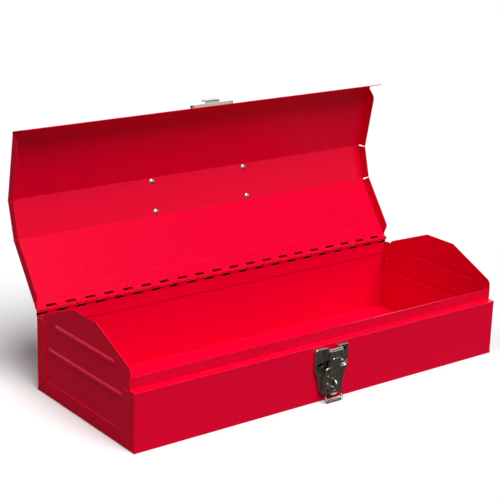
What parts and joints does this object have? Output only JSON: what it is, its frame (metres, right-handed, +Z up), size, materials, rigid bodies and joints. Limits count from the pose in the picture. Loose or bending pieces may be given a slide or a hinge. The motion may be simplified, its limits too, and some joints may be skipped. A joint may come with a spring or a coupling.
{
  "type": "hip roof toolbox",
  "caption": "Long hip-roof steel toolbox with a full-width hinged lid, a draw latch with padlock staple and a carrying handle, open and empty.",
  "frame": {"origin": "on the floor under the centre of the box's bottom", "axes": "+X along the box's length, +Y from the latch side to the hinge side, +Z up"},
  "size_m": [0.4858, 0.2668, 0.2801],
  "materials": {
    "red_paint": "gloss",
    "nickel_steel": "satin",
    "zinc_steel": "satin",
    "black_plastic": "matte"
  },
  "bodies": {
    "body": {"body_wrap": "red_paint", "end_panel_left": "red_paint", "end_panel_right": "red_paint", "body_hinge_leaf": "red_paint", "hinge_pin": "zinc_steel", "latch_base": "nickel_steel", "latch_base_rivets": "zinc_steel", "latch_staple": "nickel_steel", "latch_pivot_pin": "zinc_steel"},
    "lid": {"lid_shell": "red_paint", "lid_hinge_leaf": "red_paint", "catch_plate": "nickel_steel", "catch_rivets": "zinc_steel", "handle_bracket_left": "zinc_steel", "handle_bracket_right": "zinc_steel", "handle_rivets": "zinc_steel"},
    "lever": {"latch_lever": "nickel_steel"},
    "bail": {"latch_bail": "nickel_steel"},
    "handle": {"handle_rod": "zinc_steel", "handle_grip": "black_plastic"}
  },
  "joints": [
    {"name": "lid_hinge", "type": "hinge", "parent": "body", "child": "lid", "pos_m": [0, 0.09265, 0.0889], "axis": [1, 0, 0], "range_deg": [0, 105]},
    {"name": "lever_hinge", "type": "hinge", "parent": "body", "child": "lever", "pos_m": [0, -0.1015, 0.057], "axis": [-1, 0, 0], "range_deg": [0, 163]},
    {"name": "bail_hinge", "type": "hinge", "parent": "lever", "child": "bail", "pos_m": [0, -0.1015, 0.0383], "axis": [-1, 0, 0], "range_deg": [0, 183]},
    {"name": "handle_hinge", "type": "hinge", "parent": "lid", "child": "handle", "pos_m": [0, 0.15037, 0.17179], "axis": [1, 0, 0], "range_deg": [-16, 166]}
  ]
}
